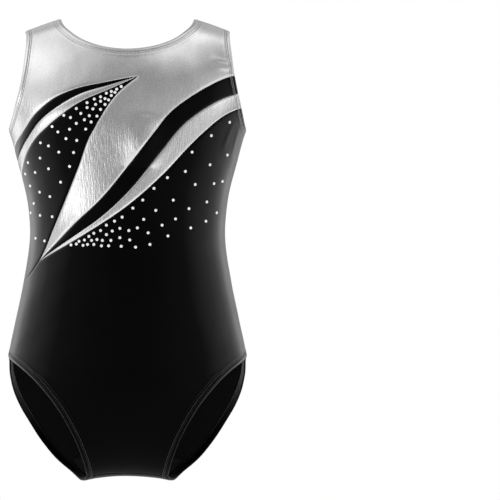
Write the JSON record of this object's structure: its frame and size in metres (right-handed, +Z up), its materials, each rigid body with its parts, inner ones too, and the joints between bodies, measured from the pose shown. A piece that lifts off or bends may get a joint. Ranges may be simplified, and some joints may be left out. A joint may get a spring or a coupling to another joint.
{
  "type": "gymnastics leotard",
  "caption": "Sleeveless gymnastics leotard in its worn shape: foil yoke, velvet body, curved contrast stripes, high-cut legs.",
  "frame": {"origin": "midway between the neck ends of the two shoulder seams; the garment hangs below z = 0", "axes": "+Z up along the wearer's body, +X towards the wearer's left, -Y the way that the wearer faces"},
  "size_m": [0.2678, 0.1802, 0.5171],
  "materials": {
    "velvet": "black stretch velvet, deep black with a grey sheen at the edges",
    "foil": "silver foil-printed spandex, soft metallic shine",
    "lining": "matte black knit lining",
    "elastic": "matte white braided elastic",
    "grey_thread": "matte grey polyester thread",
    "black_thread": "matte black polyester thread"
  },
  "bodies": {
    "root": {"front_yoke_foil": "foil", "front_right_black_crescent": "velvet", "front_right_silver_crescent": "foil", "front_right_side_panel": "velvet", "front_left_black_sweep": "velvet", "front_left_silver_sweep": "foil", "front_body": "velvet", "back_yoke_foil": "foil", "back_black_crescent": "velvet", "back_silver_crescent": "foil", "back_body": "velvet", "crotch_lining": "lining", "neck_elastic": "elastic", "left_armhole_elastic": "elastic", "right_armhole_elastic": "elastic", "left_leg_elastic": "elastic", "right_leg_elastic": "elastic", "neck_coverstitch": "grey_thread", "left_armhole_coverstitch": "grey_thread", "right_armhole_coverstitch": "grey_thread", "left_leg_coverstitch": "grey_thread", "right_leg_coverstitch": "grey_thread", "left_side_overlock": "black_thread", "right_side_overlock": "black_thread", "left_shoulder_overlock": "black_thread", "right_shoulder_overlock": "black_thread", "crotch_overlock": "black_thread", "black_crescent_overlock": "black_thread", "silver_crescent_overlock": "black_thread", "side_panel_top_overlock": "black_thread", "side_panel_overlock": "black_thread", "black_sweep_overlock": "black_thread", "silver_sweep_overlock": "black_thread", "body_sweep_overlock": "black_thread", "yoke_overlock": "black_thread", "back_silver_crescent_overlock": "black_thread", "back_black_crescent_overlock": "black_thread"}
  },
  "joints": []
}
